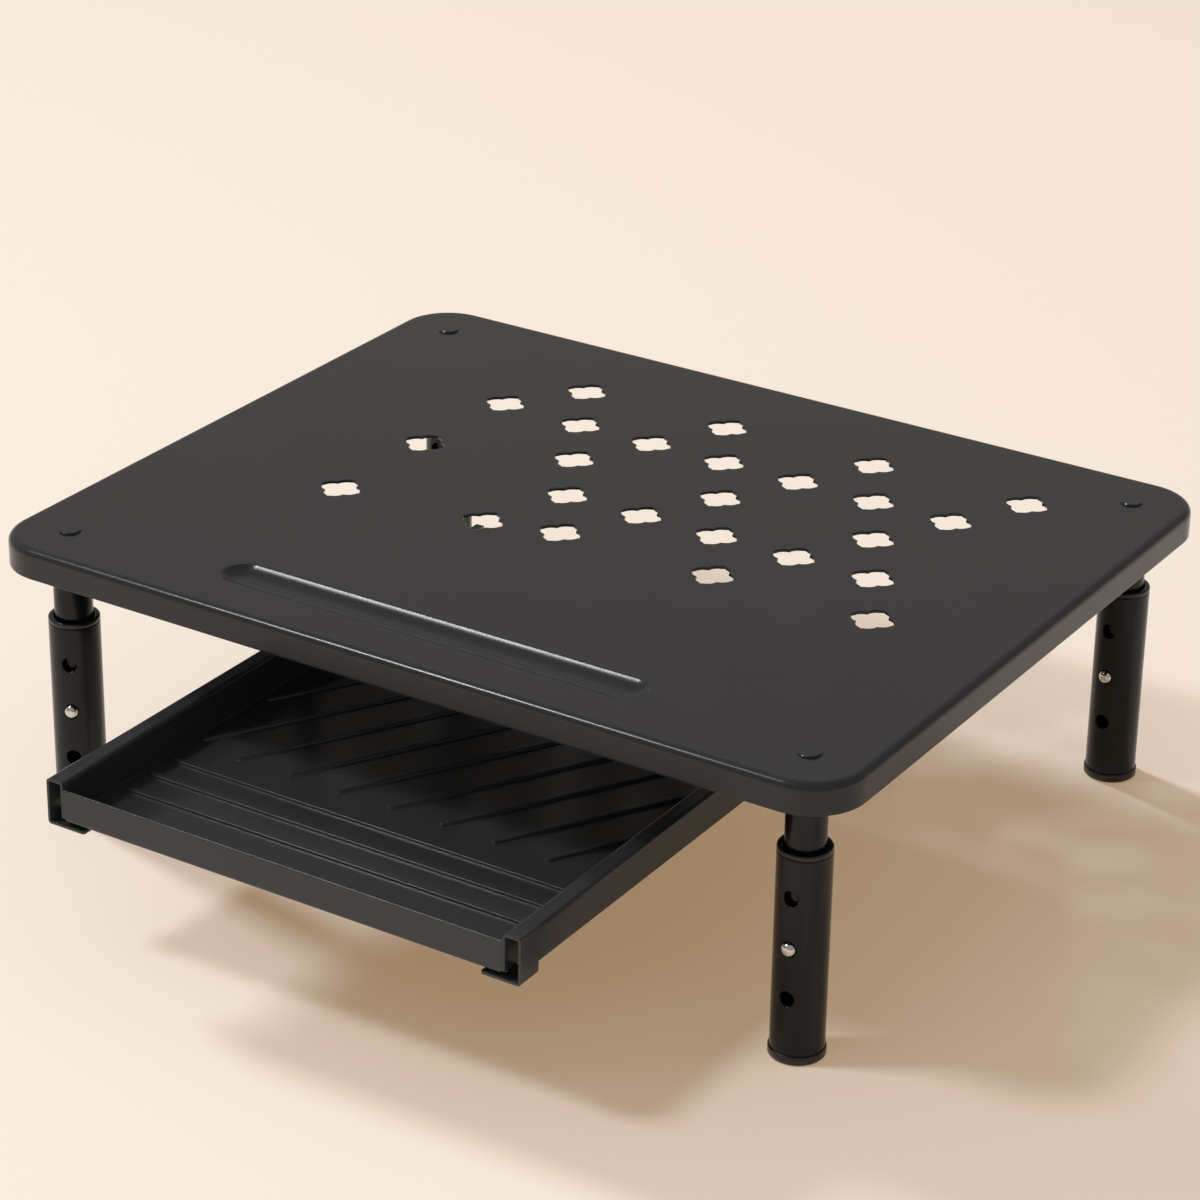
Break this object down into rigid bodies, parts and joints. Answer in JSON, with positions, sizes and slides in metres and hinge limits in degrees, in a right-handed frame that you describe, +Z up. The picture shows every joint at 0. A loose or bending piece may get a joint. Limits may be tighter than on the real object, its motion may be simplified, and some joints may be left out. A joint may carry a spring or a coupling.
{
  "type": "desk riser with drawer",
  "caption": "Low black steel desk riser with vents, a phone slot, telescopic legs with snap buttons and a shallow sliding drawer below.",
  "frame": {"origin": "on the desk, under the middle of the whole footprint as pictured, plate and open drawer, with the legs at their middle setting", "axes": "+X to the right, +Y to the back, away from the drawer, and +Z up"},
  "size_m": [0.37, 0.365, 0.1198],
  "materials": {
    "plate_coat": "satin black powder coat",
    "bolt_coat": "satin black coat",
    "tube_coat": "semi-gloss black coat",
    "drawer_coat": "satin black powder coat",
    "rail_coat": "satin black powder coat",
    "collar_plastic": "black nylon",
    "foot_plastic": "black plastic",
    "black_plastic": "black plastic",
    "button_nickel": "polished nickel plate",
    "spring_steel": "plain spring steel",
    "plain_steel": "zinc plated steel",
    "nylon": "natural nylon"
  },
  "bodies": {
    "stand_top": {"top_plate": "plate_coat", "leg_bolts": "bolt_coat", "leg_plugs": "plain_steel", "upper_tube_fl": "tube_coat", "upper_tube_fr": "tube_coat", "upper_tube_rl": "tube_coat", "upper_tube_rr": "tube_coat", "tube_guides": "black_plastic", "leaf_springs": "spring_steel", "rail_left": "rail_coat", "rail_right": "rail_coat", "rail_studs": "plain_steel", "rail_nuts": "plain_steel", "glide_left": "nylon", "glide_right": "nylon", "stop_screws": "plain_steel"},
    "drawer": {"drawer_tray": "drawer_coat"},
    "leg_fl": {"lower_tube_fl": "tube_coat", "collar_fl": "collar_plastic", "foot_fl": "foot_plastic"},
    "leg_fr": {"lower_tube_fr": "tube_coat", "collar_fr": "collar_plastic", "foot_fr": "foot_plastic"},
    "leg_rl": {"lower_tube_rl": "tube_coat", "collar_rl": "collar_plastic", "foot_rl": "foot_plastic"},
    "leg_rr": {"lower_tube_rr": "tube_coat", "collar_rr": "collar_plastic", "foot_rr": "foot_plastic"},
    "button_fl": {"snap_button_fl": "button_nickel"},
    "button_fr": {"snap_button_fr": "button_nickel"},
    "button_rl": {"snap_button_rl": "button_nickel"},
    "button_rr": {"snap_button_rr": "button_nickel"}
  },
  "joints": [
    {"name": "drawer_slide", "type": "slide", "parent": "stand_top", "child": "drawer", "axis": [0, -1, 0], "range_m": [-0.066, 0.045]},
    {"name": "leg_slide_fl", "type": "slide", "parent": "stand_top", "child": "leg_fl", "axis": [0, 0, 1], "range_m": [-0.02, 0.02], "deforming": ["snap_button_fl"]},
    {"name": "leg_slide_fr", "type": "slide", "parent": "stand_top", "child": "leg_fr", "axis": [0, 0, 1], "range_m": [-0.02, 0.02], "deforming": ["snap_button_fr"]},
    {"name": "leg_slide_rl", "type": "slide", "parent": "stand_top", "child": "leg_rl", "axis": [0, 0, 1], "range_m": [-0.02, 0.02], "deforming": ["snap_button_rl"]},
    {"name": "leg_slide_rr", "type": "slide", "parent": "stand_top", "child": "leg_rr", "axis": [0, 0, 1], "range_m": [-0.02, 0.02], "deforming": ["snap_button_rr"]},
    {"name": "button_press_fl", "type": "slide", "parent": "stand_top", "child": "button_fl", "axis": [-0.4067, 0.9135, 0], "range_m": [0, 0.0033], "stiffness_N_per_m": 2000, "springref_m": -0.002, "deforming": ["leaf_springs"]},
    {"name": "button_press_fr", "type": "slide", "parent": "stand_top", "child": "button_fr", "axis": [-0.0349, 0.9994, 0], "range_m": [0, 0.0033], "stiffness_N_per_m": 2000, "springref_m": -0.002, "deforming": ["leaf_springs"]},
    {"name": "button_press_rl", "type": "slide", "parent": "stand_top", "child": "button_rl", "axis": [-0.0349, 0.9994, 0], "range_m": [0, 0.0033], "stiffness_N_per_m": 2000, "springref_m": -0.002, "deforming": ["leaf_springs"]},
    {"name": "button_press_rr", "type": "slide", "parent": "stand_top", "child": "button_rr", "axis": [0.0872, 0.9962, 0], "range_m": [0, 0.0033], "stiffness_N_per_m": 2000, "springref_m": -0.002, "deforming": ["leaf_springs"]}
  ]
}
